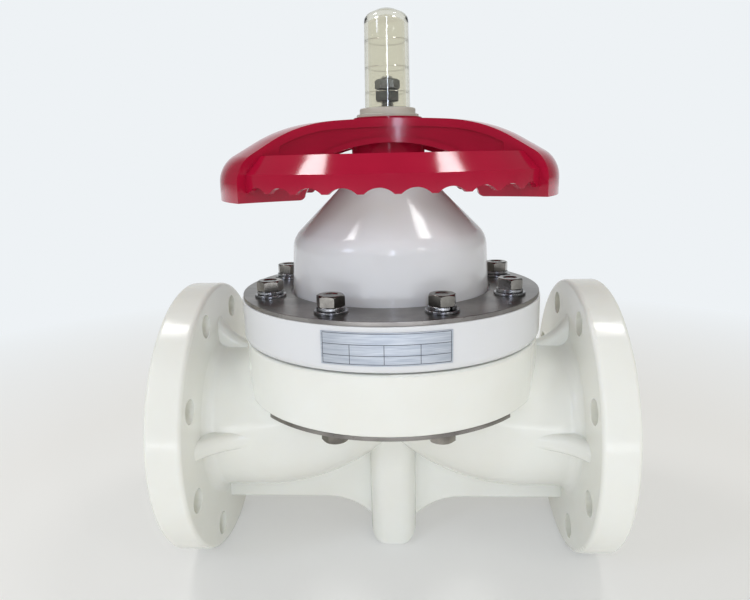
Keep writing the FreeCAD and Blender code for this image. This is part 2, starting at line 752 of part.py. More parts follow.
collar_top = collar_bottom + collar_thick
save("sleeve", make_sleeve())
thrust_radius = housing_radius - soft_gap
thrust_top = collar_top + thrust_thick
save("lower_thrust_ring", ring(thrust_radius, sleeve_foot_radius + soft_gap, housing_floor, collar_bottom))
save("upper_thrust_ring", ring(thrust_radius, sleeve_middle_radius + soft_gap, collar_top, thrust_top))
gland = ring(housing_radius - insert_gap, sleeve_middle_radius + insert_gap, thrust_top, gland_top)
seal_place = sleeve_middle_radius + seal_section
groove = ring(seal_place + seal_section + insert_gap, sleeve_middle_radius,
              seal_height - seal_section, seal_height + seal_section)
save("gland_ring", gland.cut(groove))
save("sleeve_seal", Part.makeTorus(seal_place + fit_gap, seal_section, point(0, seal_height)))
save("handwheel", make_handwheel())
save("wheel_key", turn_wheel(key_block(key_outer)))
ring_nut_top = sleeve_nut_step + ring_nut_thick
save("wheel_ring_nut", ring(ring_nut_radius, sleeve_nut_radius + fit_gap, sleeve_nut_step, ring_nut_top))
save("cap_gasket", ring(spigot_radius, cap_tube_radius - cap_wall, sleeve_top, sleeve_top + gasket_thick))
save("indicator_cap", make_cap())
upper_nut_bottom = lower_nut_bottom + lower_nut_thick
save("stop_nuts", [make_stop_nut(lower_nut_bottom, lower_nut_thick, 30),
                   make_stop_nut(upper_nut_bottom, upper_nut_thick, 0)])
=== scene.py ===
import bpy
import math
from mathutils import Matrix, Vector


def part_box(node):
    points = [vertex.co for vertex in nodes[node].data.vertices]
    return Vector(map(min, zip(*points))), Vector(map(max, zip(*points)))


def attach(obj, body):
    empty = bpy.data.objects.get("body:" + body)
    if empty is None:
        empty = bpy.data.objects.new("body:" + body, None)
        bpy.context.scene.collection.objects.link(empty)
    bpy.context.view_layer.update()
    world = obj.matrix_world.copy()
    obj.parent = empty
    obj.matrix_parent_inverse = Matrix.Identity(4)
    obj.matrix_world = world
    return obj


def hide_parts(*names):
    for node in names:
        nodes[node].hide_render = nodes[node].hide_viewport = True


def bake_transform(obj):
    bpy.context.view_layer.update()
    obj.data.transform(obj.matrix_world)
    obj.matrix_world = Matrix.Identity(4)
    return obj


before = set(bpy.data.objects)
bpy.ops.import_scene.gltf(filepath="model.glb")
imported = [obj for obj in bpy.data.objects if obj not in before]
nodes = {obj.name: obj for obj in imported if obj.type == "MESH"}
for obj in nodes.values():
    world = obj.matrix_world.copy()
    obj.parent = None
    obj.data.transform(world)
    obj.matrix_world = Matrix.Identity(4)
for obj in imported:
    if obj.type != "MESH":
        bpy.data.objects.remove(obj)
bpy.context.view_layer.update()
mm = 0.001
print("frame loaded,", len(nodes), "nodes")


def linear(hexText):
    # sRGB hex to the linear colour that the shader wants
    channels = [int(hexText[i:i + 2], 16) / 255 for i in (1, 3, 5)]
    return [c / 12.92 if c <= 0.04045 else ((c + 0.055) / 1.055) ** 2.4 for c in channels] + [1]


def addNode(tree, kind, settings=None, links=None):
    node = tree.nodes.new(kind)
    for key, value in (settings or {}).items():
        if isinstance(key, int) or key in node.inputs:
            node.inputs[key].default_value = value
        else:
            setattr(node, key, value)
    for key, source in (links or {}).items():
        tree.links.new(source, node.inputs[key])
    return node


def newMaterial(name):
    material = bpy.data.materials.new(name)
    material.use_nodes = True
    material.node_tree.nodes.clear()
    return material, material.node_tree


def addRamp(tree, source, stops):
    ramp = addNode(tree, "ShaderNodeValToRGB", {}, {"Fac": source})
    elements = ramp.color_ramp.elements
    while len(elements) < len(stops):
        elements.new(0.5)
    for element, (place, colour) in zip(elements, stops):
        element.position = place
        element.color = linear(colour) if isinstance(colour, str) else (colour, colour, colour, 1)
    return ramp.outputs["Color"]


def patternScale(sizeMm):
    # Object coordinates are metres, so a feature of this many millimetres needs this scale
    return 1000.0 / sizeMm


def useMaterial(piece, material):
    piece.data.materials.clear()
    piece.data.materials.append(material)


def pickOnly(piece):
    if bpy.context.object and bpy.context.object.mode != "OBJECT":
        bpy.ops.object.mode_set(mode="OBJECT")
    bpy.ops.object.select_all(action="DESELECT")
    piece.select_set(True)
    bpy.context.view_layer.objects.active = piece


def applyModifier(piece, kind, settings):
    pickOnly(piece)
    modifier = piece.modifiers.new("step", kind)
    for key, value in settings.items():
        setattr(modifier, key, value)
    bpy.ops.object.modifier_apply(modifier="step")


def smoothPiece(piece, angle=32):
    pickOnly(piece)
    bpy.ops.object.shade_smooth_by_angle(angle=math.radians(angle))
    applyModifier(piece, "WEIGHTED_NORMAL", {"keep_sharp": True, "weight": 60})


def softenEdges(piece, width, segments=2, angle=28):
    applyModifier(piece, "BEVEL", {"width": width * mm, "segments": segments, "limit_method": "ANGLE",
                                   "angle_limit": math.radians(angle), "use_clamp_overlap": True})


def settle(piece, body, material, slot, *replaced):
    # The piece ends at the origin, with its place in its mesh, and rides on its body
    pickOnly(piece)
    bpy.ops.object.transform_apply(location=True, rotation=True, scale=True)
    useMaterial(piece, material)
    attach(piece, body)
    if replaced:
        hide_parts(*replaced)
    return piece


def copyNode(nodeName, pieceName):
    # A copy of a CAD node, merged into clean faces so that its edges can be softened
    mesh = nodes[nodeName].data.copy()
    piece = bpy.data.objects.new(pieceName, mesh)
    bpy.context.scene.collection.objects.link(piece)
    pickOnly(piece)
    bpy.ops.mesh.customdata_custom_splitnormals_clear()
    bpy.ops.object.mode_set(mode="EDIT")
    bpy.ops.mesh.select_all(action="SELECT")
    bpy.ops.mesh.remove_doubles(threshold=0.000002)
    bpy.ops.mesh.dissolve_limited(angle_limit=math.radians(0.4))
    bpy.ops.object.mode_set(mode="OBJECT")
    return piece


def startPiece(name, place):
    # A plane is merged to the one vertex that a profile is drawn from
    bpy.ops.object.select_all(action="DESELECT")
    bpy.ops.mesh.primitive_plane_add(size=2 * mm, location=(0, 0, 0))
    piece = bpy.context.object
    piece.name = name
    bpy.ops.object.mode_set(mode="EDIT")
    bpy.ops.mesh.select_all(action="SELECT")
    bpy.ops.mesh.merge(type="CENTER")
    bpy.ops.transform.translate(value=place)
    return piece


def drawProfile(name, profile, closed):
    # Each point is (radius, height) in mm, with the size of its rounding as a third number if it has one
    points = [Vector((p[0] * mm, 0, p[1] * mm)) for p in profile]
    piece = startPiece(name, points[0])
    for last, this in zip(points, points[1:]):
        bpy.ops.mesh.extrude_region_move(TRANSFORM_OT_translate={"value": this - last})
    bpy.ops.mesh.select_all(action="DESELECT")
    bpy.ops.object.mode_set(mode="OBJECT")
    if closed:
        ends = [v for v in piece.data.vertices if (v.co - points[0]).length < 1e-7 or (v.co - points[-1]).length < 1e-7]
        for v in ends:
            v.select = True
        bpy.ops.object.mode_set(mode="EDIT")
        bpy.ops.mesh.edge_face_add()
        bpy.ops.mesh.select_all(action="DESELECT")
        bpy.ops.object.mode_set(mode="OBJECT")
    for size in sorted({p[2] for p in profile if len(p) > 2}):
        corners = [points[i] for i, p in enumerate(profile) if len(p) > 2 and p[2] == size]
        for v in piece.data.vertices:
            v.select = any((v.co - corner).length < 1e-7 for corner in corners)
        bpy.ops.object.mode_set(mode="EDIT")
        bpy.ops.mesh.bevel(offset=size * mm, segments=3, affect="VERTICES")
        bpy.ops.mesh.select_all(action="DESELECT")
        bpy.ops.object.mode_set(mode="OBJECT")
    return piece


def turnPiece(name, profile, steps=64, closed=False, angle=360.0):
    # The profile is spun about the upright axis, like turning on a lathe
    piece = drawProfile(name, profile, closed)
    bpy.ops.object.mode_set(mode="EDIT")
    bpy.ops.mesh.select_all(action="SELECT")
    bpy.ops.mesh.spin(steps=steps, angle=math.radians(angle), center=(0, 0, 0), axis=(0, 0, 1))
    bpy.ops.mesh.select_all(action="SELECT")
    bpy.ops.mesh.remove_doubles(threshold=0.000001)
    bpy.ops.mesh.normals_make_consistent(inside=False)
    bpy.ops.object.mode_set(mode="OBJECT")
    return piece


def cutFlats(piece, flats, turn=0.0):
    # Six cuts turn a round blank into a hexagon, which leaves the curved chamfers of a real one
    pickOnly(piece)
    bpy.ops.object.mode_set(mode="EDIT")
    for k in range(6):
        angle = math.radians(turn + 30 + 60 * k)
        way = Vector((math.cos(angle), math.sin(angle), 0))
        bpy.ops.mesh.select_all(action="SELECT")
        bpy.ops.mesh.bisect(plane_co=way * flats / 2 * mm, plane_no=way, use_fill=True, clear_outer=True)
    bpy.ops.mesh.select_all(action="SELECT")
    bpy.ops.mesh.normals_make_consistent(inside=False)
    bpy.ops.object.mode_set(mode="OBJECT")


def joinPieces(pieces):
    pickOnly(pieces[0])
    for piece in pieces[1:]:
        piece.select_set(True)
    bpy.ops.object.join()
    return bpy.context.object


def copyTo(piece, name, radius, angle, turn=0.0):
    # A copy with its own mesh, turned on its own axis, moved out and turned about the stem
    copy = piece.copy()
    copy.data = piece.data.copy()
    copy.name = name
    bpy.context.scene.collection.objects.link(copy)
    spot = Matrix.Rotation(math.radians(angle), 4, "Z") @ Matrix.Translation((radius * mm, 0, 0))
    copy.data.transform(spot @ Matrix.Rotation(math.radians(turn - angle), 4, "Z"))
    return copy


def bottomOf(nodeName):
    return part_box(nodeName)[0].z / mm


def topOf(nodeName):
    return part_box(nodeName)[1].z / mm


# The camera stands where the photographer stood, and its axes were worked out from the flanges
camera = {"place": (0.0173, -0.5090, 0.3316), "lens": 29.68, "shift": -0.0051,
          "right": (0.99858632, 0.04900714, -0.02058313), "up": (0.00908466, 0.22418238, 0.97450486),
          "ahead": (-0.05237207, 0.97331422, -0.22342024)}
bpy.ops.object.select_all(action="DESELECT")
bpy.ops.object.camera_add(location=camera["place"])
cameraObject = bpy.context.object
cameraObject.data.lens = camera["lens"]
cameraObject.data.shift_x = camera["shift"]
cameraAxes = [Vector(camera["right"]), Vector(camera["up"]), -Vector(camera["ahead"])]
cameraObject.rotation_euler = Matrix(cameraAxes).transposed().to_euler()
bpy.context.scene.camera = cameraObject
bpy.context.scene.view_settings.view_transform = "Standard"

# Moulded plastics: a base colour, a second one in soft clouds a few centimetres across, a fine grain
# from the mould and a faint unevenness in the gloss. Grain and cloud are sizes in mm, and the grain is
# drawn coarser than the real one, because that is too fine to show
plastics = {
    # Natural PVDF, injection moulded: milky ivory that takes in a little light, with a waxy gloss
    "ivoryPvdf": {"colour": "#F0F2EC", "shade": "#EEEFE8", "rough": 0.16, "grain": 1.1, "cloud": 60, "bump": 0.03,
                  "inner": 0.10, "ior": 1.42, "gloss": 0.5},
    # PVDF with white pigment from a polished mould: colder and clearer highlights than the body has
    "whitePvdf": {"colour": "#E4E6E8", "shade": "#E2E4E6", "rough": 0.13, "grain": 1.1, "cloud": 60, "bump": 0.03,
                  "inner": 0.08, "ior": 1.42, "gloss": 0.5},
    # Polypropylene dyed crimson right through: glossy, with a bright line along each moulded edge
    "crimsonPolypropylene": {"colour": "#AC0F33", "shade": "#A60E31", "rough": 0.11, "grain": 0.9, "cloud": 40,
                             "bump": 0.03, "inner": 0.0, "ior": 1.49, "gloss": 0.5},
    # PTFE sheet, pressed to shape: chalk white and waxy, with a dull sheen
    "whitePtfe": {"colour": "#EDEDE8", "shade": "#E3E2DB", "rough": 0.38, "grain": 0.8, "cloud": 20, "bump": 0.04,
                  "inner": 0.12, "ior": 1.36, "gloss": 0.5},
    # Acetal, turned from bar: cream and satin
    "creamAcetal": {"colour": "#D9D0B8", "shade": "#CBC1A6", "rough": 0.42, "grain": 0.7, "cloud": 15,
                    "bump": 0.06, "inner": 0.05, "ior": 1.48, "gloss": 0.5},
    # EPDM rubber, pressed: almost black and matt, with a faint grey bloom
    "blackEpdm": {"colour": "#1E1E1F", "shade": "#29292A", "rough": 0.62, "grain": 0.6, "cloud": 12, "bump": 0.12,
                  "inner": 0.0, "ior": 1.50, "gloss": 0.5},
}

# Metals: the stretch draws their noise out into scratches or rings, and the grain is its width in mm
metals = {
    # Stainless sheet, rolled and punched: a soft grey mirror with long scratches along the sheet
    "rolledStainless": {"light": "#999591", "dark": "#817D7A", "rough": 0.28, "grain": 0.9, "stretch": (0.04, 1, 1),
                        "bump": 0.06},
    # Stainless steel, cold forged: grey with darker patches and shallow dents from the die
    "forgedStainless": {"light": "#A29E97", "dark": "#736F6A", "rough": 0.20, "grain": 1.6, "stretch": (1, 1, 0.5),
                        "bump": 0.10},
    # Steel, turned: bright, with fine rings from the tool
    "turnedSteel": {"light": "#B4B4B4", "dark": "#98989A", "rough": 0.25, "grain": 0.5, "stretch": (0.2, 0.2, 3),
                    "bump": 0.08},
    # Steel with a grey oxide skin: slate grey, with the sheen of metal left on its faces
    "blackenedSteel": {"light": "#7C7E82", "dark": "#5A5C60", "rough": 0.36, "grain": 1.2, "stretch": (1, 1, 1),
                       "bump": 0.12},
    # Bronze, machined: warm brown yellow, with rings from the tool
    "machinedBronze": {"light": "#C29A5C", "dark": "#A37C43", "rough": 0.30, "grain": 0.6,
                       "stretch": (0.2, 0.2, 3), "bump": 0.08},
    # Grey iron, cast in sand: dark and dull, with pits as wide as the grains of sand
    "castIron": {"light": "#3E4042", "dark": "#2B2C2E", "rough": 0.55, "grain": 1.8, "stretch": (1, 1, 1),
                 "bump": 0.35},
}


def objectPlace(tree, stretch=(1, 1, 1)):
    place = addNode(tree, "ShaderNodeTexCoord")
    return addNode(tree, "ShaderNodeMapping", {"Scale": stretch}, {"Vector": place.outputs["Object"]}).outputs[0]


def finishMaterial(material, tree, shader):
    addNode(tree, "ShaderNodeOutputMaterial", {}, {"Surface": shader.outputs["BSDF"]})
    return material


def mouldedPlastic(name):
    look = plastics[name]
    material, tree = newMaterial(name)
    place = objectPlace(tree)
    cloud = addNode(tree, "ShaderNodeTexNoise", {"Scale": patternScale(look["cloud"]), "Detail": 3.0},
                    {"Vector": place})
    grain = addNode(tree, "ShaderNodeTexNoise", {"Scale": patternScale(look["grain"]), "Detail": 2.0},
                    {"Vector": place})
    colour = addRamp(tree, cloud.outputs["Fac"], [(0.38, look["shade"]), (0.62, look["colour"])])
    rough = addNode(tree, "ShaderNodeMapRange", {"To Min": look["rough"] - 0.05, "To Max": look["rough"] + 0.07},
                    {"Value": cloud.outputs["Fac"]})
    bump = addNode(tree, "ShaderNodeBump", {"Strength": look["bump"], "Distance": 0.1 * mm},
                   {"Height": grain.outputs["Fac"]})
    shader = addNode(tree, "ShaderNodeBsdfPrincipled",
                     {"IOR": look["ior"], "Specular IOR Level": look["gloss"], "Subsurface Weight": look["inner"],
                      "Subsurface Radius": (0.9, 0.8, 0.6), "Subsurface Scale": 4 * mm},
                     {"Base Color": colour, "Roughness": rough.outputs["Result"], "Normal": bump.outputs["Normal"]})
    return finishMaterial(material, tree, shader)


def workedMetal(name):
    look = metals[name]
    material, tree = newMaterial(name)
    lines = addNode(tree, "ShaderNodeTexNoise", {"Scale": patternScale(look["grain"]), "Detail": 4.0},
                    {"Vector": objectPlace(tree, look["stretch"])})
    stain = addNode(tree, "ShaderNodeTexNoise", {"Scale": patternScale(22), "Detail": 3.0},
                    {"Vector": objectPlace(tree)})
    colour = addRamp(tree, stain.outputs["Fac"], [(0.36, look["dark"]), (0.62, look["light"])])
    rough = addNode(tree, "ShaderNodeMapRange", {"To Min": look["rough"] - 0.07, "To Max": look["rough"] + 0.12},
                    {"Value": lines.outputs["Fac"]})
    bump = addNode(tree, "ShaderNodeBump", {"Strength": look["bump"], "Distance": 0.1 * mm},
                   {"Height": lines.outputs["Fac"]})
    shader = addNode(tree, "ShaderNodeBsdfPrincipled", {"Metallic": 1.0},
                     {"Base Color": colour, "Roughness": rough.outputs["Result"], "Normal": bump.outputs["Normal"]})
    return finishMaterial(material, tree, shader)


# Polycarbonate, moulded clear: it bends what lies behind it, and the mould leaves slow ripples. The foot, up
# to this many millimetres above the handwheel, comes out frosted, so it looks grey white
clearCap = {"tint": "#ECE9DC", "rough": 0.03, "ripple": 9.0, "frosted": 7.2, "frostRough": 0.35, "frostClear": 0.45}


def clearPolycarbonate():
    material, tree = newMaterial("clearPolycarbonate")
    ripple = addNode(tree, "ShaderNodeTexNoise", {"Scale": patternScale(clearCap["ripple"]), "Detail": 1.0},
                     {"Vector": objectPlace(tree)})
    bump = addNode(tree, "ShaderNodeBump", {"Strength": 0.10, "Distance": 0.3 * mm},
                   {"Height": ripple.outputs["Fac"]})
    rough = addNode(tree, "ShaderNodeMapRange", {"To Min": clearCap["rough"], "To Max": clearCap["rough"] + 0.05},
                    {"Value": ripple.outputs["Fac"]})
    split = addNode(tree, "ShaderNodeSeparateXYZ", {}, {"Vector": objectPlace(tree)})
    frost = addNode(tree, "ShaderNodeMath", {"operation": "LESS_THAN",
                                             1: (topOf("handwheel") + clearCap["frosted"]) * mm},
                    {0: split.outputs["Z"]})
    clear = addNode(tree, "ShaderNodeMapRange", {"To Min": 1.0, "To Max": clearCap["frostClear"]},
                    {"Value": frost.outputs[0]})
    skin = addNode(tree, "ShaderNodeMath", {"operation": "MULTIPLY_ADD", 1: clearCap["frostRough"]},
                   {0: frost.outputs[0], 2: rough.outputs["Result"]})
    shader = addNode(tree, "ShaderNodeBsdfPrincipled", {"Base Color": linear(clearCap["tint"]), "IOR": 1.585},
                     {"Roughness": skin.outputs[0], "Transmission Weight": clear.outputs["Result"],
                      "Normal": bump.outputs["Normal"]})
    return finishMaterial(material, tree, shader)


# Aluminium sheet, brushed and etched: soft silver with dark sunk lines, a border, a header row and two
# rows of four blank cells. Places are millimetres along the plate from its middle, and heights above the floor
plateTable = {"radius": 122.9, "line": 0.45, "silver": "#C2C8D0", "shade": "#A8B0BC", "ink": "#4A4E58",
              "columns": (-43.2, -24.1, -0.8, 23.6, 44.6), "rows": (198.9, 204.8, 212.4, 220.0)}


def etchedSilverPlate():
    look = plateTable
    material, tree = newMaterial("etchedSilverPlate")
    place = addNode(tree, "ShaderNodeTexCoord")
    split = addNode(tree, "ShaderNodeSeparateXYZ", {}, {"Vector": place.outputs["Object"]})
    back = addNode(tree, "ShaderNodeMath", {"operation": "MULTIPLY", 1: -1.0}, {0: split.outputs["Y"]})
    angle = addNode(tree, "ShaderNodeMath", {"operation": "ARCTAN2"}, {0: split.outputs["X"], 1: back.outputs[0]})
    along = addNode(tree, "ShaderNodeMath", {"operation": "MULTIPLY", 1: look["radius"]}, {0: angle.outputs[0]})
    height = addNode(tree, "ShaderNodeMath", {"operation": "MULTIPLY", 1: 1000.0}, {0: split.outputs["Z"]})

    def between(source, low, high):
        over = addNode(tree, "ShaderNodeMath", {"operation": "GREATER_THAN", 1: low}, {0: source})
        under = addNode(tree, "ShaderNodeMath", {"operation": "LESS_THAN", 1: high}, {0: source})
        both = addNode(tree, "ShaderNodeMath", {"operation": "MULTIPLY"}, {0: over.outputs[0], 1: under.outputs[0]})
        return both.outputs[0]

    half = look["line"] / 2
    columns, rows = look["columns"], look["rows"]
    strokes = [(columns[0], columns[-1], row - half, row + half) for row in rows]
    strokes += [(column - half, column + half, rows[0], rows[-1]) for column in (columns[0], columns[-1])]
    strokes += [(column - half, column + half, rows[0], rows[2]) for column in columns[1:-1]]
    ink = None
    for left, right, low, high in strokes:
        stroke = addNode(tree, "ShaderNodeMath", {"operation": "MULTIPLY"},
                         {0: between(along.outputs[0], left, right), 1: between(height.outputs[0], low, high)})
        ink = stroke if ink is None else addNode(tree, "ShaderNodeMath", {"operation": "MAXIMUM"},
                                                 {0: ink.outputs[0], 1: stroke.outputs[0]})
    brushed = addNode(tree, "ShaderNodeTexNoise", {"Scale": patternScale(0.8), "Detail": 3.0},
                      {"Vector": objectPlace(tree, (0.05, 0.05, 1))})
    silver = addRamp(tree, brushed.outputs["Fac"], [(0.35, look["shade"]), (0.65, look["silver"])])
    colour = addNode(tree, "ShaderNodeMix", {"data_type": "RGBA", 7: linear(look["ink"])},
                     {0: ink.outputs[0], 6: silver})
    metal = addNode(tree, "ShaderNodeMapRange", {"To Min": 0.45, "To Max": 0.1}, {"Value": ink.outputs[0]})
    bump = addNode(tree, "ShaderNodeBump", {"Strength": 0.3, "Distance": 0.05 * mm, "invert": True},
                   {"Height": ink.outputs[0]})
    shader = addNode(tree, "ShaderNodeBsdfPrincipled", {"Roughness": 0.32},
                     {"Base Color": colour.outputs[2], "Metallic": metal.outputs["Result"],
                      "Normal": bump.outputs["Normal"]})
    return finishMaterial(material, tree, shader)


ivoryPvdf = mouldedPlastic("ivoryPvdf")
whitePvdf = mouldedPlastic("whitePvdf")
crimsonPlastic = mouldedPlastic("crimsonPolypropylene")
whitePtfe = mouldedPlastic("whitePtfe")
creamAcetal = mouldedPlastic("creamAcetal")
blackEpdm = mouldedPlastic("blackEpdm")
rolledStainless = workedMetal("rolledStainless")
forgedStainless = workedMetal("forgedStainless")
turnedSteel = workedMetal("turnedSteel")
blackenedSteel = workedMetal("blackenedSteel")
machinedBronze = workedMetal("machinedBronze")
castIron = workedMetal("castIron")
capPlastic = clearPolycarbonate()
silverPlate = etchedSilverPlate()

nodeLooks = {"foot_inserts": machinedBronze, "body_insert_nuts": machinedBronze, "sleeve": machinedBronze,
             "wheel_ring_nut": machinedBronze, "diaphragm_stud": turnedSteel, "compressor": castIron,
             "compressor_pin": turnedSteel, "wheel_key": turnedSteel, "lower_thrust_ring": creamAcetal,
             "upper_thrust_ring": creamAcetal, "gland_ring": creamAcetal, "sleeve_seal": blackEpdm,
             "cap_gasket": blackEpdm}
for nodeName, look in nodeLooks.items():
    useMaterial(nodes[nodeName], look)
print("materials made")

castings = {"bodyEdge": 0.7, "bonnetEdge": 0.7, "wheelEdge": 0.9, "plateEdge": 0.35}

valveBody = copyNode("valve_body", "valveBody")
softenEdges(valveBody, castings["bodyEdge"])
smoothPiece(valveBody)
settle(valveBody, "valve", ivoryPvdf, "ivory_pvdf", "valve_body")

bonnet = copyNode("bonnet", "bonnetShell")
softenEdges(bonnet, castings["bonnetEdge"])
smoothPiece(bonnet)
settle(bonnet, "valve", whitePvdf, "white_pvdf", "bonnet")

ringPlate = copyNode("bonnet_ring_plate", "ringPlate")
softenEdges(ringPlate, castings["plateEdge"])
smoothPiece(ringPlate)
settle(ringPlate, "valve", rolledStainless, "stainless", "bonnet_ring_plate")

backingPlates = copyNode("backing_plates", "backingPlates")
softenEdges(backingPlates, castings["plateEdge"])
smoothPiece(backingPlates)
settle(backingPlates, "valve", rolledStainless, "stainless", "backing_plates")
print("body, bonnet and plates made")

fasteners = {"circle": 100.7, "flats": 18.0, "shank": 6.0, "crown": 8.5, "dish": 5.5,
             "turns": (12, 35, 5, 48, 18, 50, 22, 27), "washer": 12.2, "washerBore": 6.6,
             "spring": 10.2, "springBore": 6.3, "split": 14.0, "edge": 0.16}
boltAngles = [22.5 + 45 * k for k in range(8)]
longBolts = (1, 2, 5, 6)
headBottom = topOf("spring_washers")
headTop = topOf("bonnet_bolts")
nutBottom = bottomOf("bonnet_nuts")
nutTop = topOf("bonnet_nuts")
washerBottom = bottomOf("flat_washers")
springBottom = bottomOf("spring_washers")
shortEnd = bottomOf("body_insert_nuts") + 2


def makeBolt(name, end):
    head = turnPiece(name, [(0, headTop - 0.8), (fasteners["dish"] - 0.9, headTop - 0.8),
                            (fasteners["dish"], headTop - 0.1), (fasteners["dish"] + 0.4, headTop),
                            (fasteners["crown"], headTop), (10.6, headTop - 1.2), (10.6, headBottom + 0.5),
                            (9.6, headBottom), (0, headBottom)], steps=60)
    cutFlats(head, fasteners["flats"])
    softenEdges(head, fasteners["edge"])
    shank = turnPiece("shank", [(0, headBottom + 0.5), (fasteners["shank"], headBottom + 0.5),
                                (fasteners["shank"], end + 1.2), (fasteners["shank"] - 1.1, end), (0, end)], steps=40)
    return joinPieces([head, shank])


longBolt = makeBolt("longBolt", nutBottom)
shortBolt = makeBolt("shortBolt", shortEnd)
flatWasher = turnPiece("flatWasher", [(fasteners["washerBore"], washerBottom, 0.2),
                                      (fasteners["washer"], washerBottom, 0.3),
                                      (fasteners["washer"], springBottom, 0.55),
                                      (fasteners["washerBore"], springBottom, 0.3)], steps=56, closed=True)
# A spring washer is a square wire wound nearly once round, with one end slanted at its split
springWasher = turnPiece("springWasher", [(fasteners["springBore"], springBottom + 0.05, 0.35),
                                          (fasteners["spring"], springBottom + 0.05, 0.6),
                                          (fasteners["spring"], headBottom - 0.05, 0.6),
                                          (fasteners["springBore"], headBottom - 0.05, 0.35)],
                         steps=44, closed=True, angle=360 - fasteners["split"])
pickOnly(springWasher)
bpy.ops.object.mode_set(mode="EDIT")
for endAngle in (0, 360 - fasteners["split"]):
    wayOut = Vector((math.cos(math.radians(endAngle)), math.sin(math.radians(endAngle)), 0))
    bpy.ops.mesh.select_all(action="DESELECT")
    bpy.ops.object.mode_set(mode="OBJECT")
    for v in springWasher.data.vertices:
        flat = Vector((v.co.x, v.co.y, 0))
        v.select = flat.length > 0 and (flat.normalized() - wayOut).length < 0.01
    for e in springWasher.data.edges:
        e.select = all(springWasher.data.vertices[i].select for i in e.vertices)
    bpy.ops.object.mode_set(mode="EDIT")
    bpy.ops.mesh.edge_face_add()
    if endAngle == 0:
        middle = Vector((8.2 * mm, 0, (springBottom + headBottom) / 2 * mm))
        bpy.ops.transform.rotate(value=math.radians(28), orient_axis="X", center_override=middle)
bpy.ops.mesh.select_all(action="SELECT")
bpy.ops.mesh.normals_make_consistent(inside=False)
bpy.ops.object.mode_set(mode="OBJECT")

hexNut = turnPiece("hexNut", [(5.1, nutBottom + 0.9), (6.2, nutBottom), (fasteners["crown"], nutBottom),
                              (10.6, nutBottom + 1.2), (10.6, nutTop - 1.2), (fasteners["crown"], nutTop),
                              (6.2, nutTop), (5.1, nutTop - 0.9)], steps=60, closed=True)
cutFlats(hexNut, fasteners["flats"])
softenEdges(hexNut, fasteners["edge"])

for k, boltAngle in enumerate(boltAngles):
    boltTurn = fasteners["turns"][k]
    bolt = copyTo(longBolt if k in longBolts else shortBolt, "bonnetBolt" + str(k + 1), fasteners["circle"],
                  boltAngle, boltTurn)
    smoothPiece(bolt, 25)
    settle(bolt, "valve", forgedStainless, "stainless", "bonnet_bolts")
    washer = copyTo(flatWasher, "flatWasher" + str(k + 1), fasteners["circle"], boltAngle)
    smoothPiece(washer)
    settle(washer, "valve", turnedSteel, "stainless", "flat_washers")
    spring = copyTo(springWasher, "springWasher" + str(k + 1), fasteners["circle"], boltAngle, 75 + 97 * k)
    smoothPiece(spring)
    settle(spring, "valve", turnedSteel, "stainless", "spring_washers")
    if k in longBolts:
        nut = copyTo(hexNut, "bonnetNut" + str(k + 1), fasteners["circle"], boltAngle, boltTurn + 17)
        smoothPiece(nut, 25)
        settle(nut, "valve", forgedStainless, "stainless", "bonnet_nuts")
for part in (longBolt, shortBolt, flatWasher, springWasher, hexNut):
    bpy.data.objects.remove(part)
print("fasteners made")

plate = {"width": 90.0, "middle": 0.7, "thick": 0.8, "inner": 122.1, "low": 197.8, "high": 220.8, "edge": 0.2}
plateArc = math.degrees(plate["width"] / plate["inner"])
nameplate = turnPiece("nameplate", [(plate["inner"], plate["low"]), (plate["inner"] + plate["thick"], plate["low"]),
                                    (plate["inner"] + plate["thick"], plate["high"]),
                                    (plate["inner"], plate["high"])], steps=30, closed=True, angle=plateArc)
startTurn = -90 + plateArc / 2 + math.degrees(plate["middle"] / plate["inner"])
nameplate.data.transform(Matrix.Rotation(math.radians(startTurn), 4, "Z"))
pickOnly(nameplate)
bpy.ops.object.mode_set(mode="EDIT")
bpy.ops.mesh.select_all(action="DESELECT")
bpy.ops.mesh.select_non_manifold()
bpy.ops.mesh.fill_holes(sides=0)
bpy.ops.mesh.select_all(action="SELECT")
bpy.ops.mesh.normals_make_consistent(inside=False)
bpy.ops.object.mode_set(mode="OBJECT")
softenEdges(nameplate, plate["edge"])
smoothPiece(nameplate)
settle(nameplate, "valve", silverPlate, "label_metal", "nameplate")

handwheel = copyNode("handwheel", "handwheelShell")
softenEdges(handwheel, castings["wheelEdge"], segments=3, angle=24)
smoothPiece(handwheel, 35)
settle(handwheel, "wheel", crimsonPlastic, "red_plastic", "handwheel")
print("nameplate and handwheel made")

cap = {"foot": 24.5, "flange": 22.0, "tube": 17.8, "tubeTop": 17.0, "wall": 2.9, "spigot": 21.8,
       "footHeight": 2.5, "flangeHeight": 7, "domeHeight": 9.6,
       "rings": (381.3, 399.5, 419.1), "ringWidth": 0.7, "ringDepth": 0.3}
capBottom = bottomOf("indicator_cap")
capTop = topOf("indicator_cap")
padTop = topOf("handwheel")
tubeBottomHeight = padTop + cap["flangeHeight"]
tubeTopHeight = capTop - cap["domeHeight"]


def tubeRadius(height):
    share = (height - tubeBottomHeight) / (tubeTopHeight - tubeBottomHeight)
    return cap["tube"] + (cap["tubeTop"] - cap["tube"]) * share


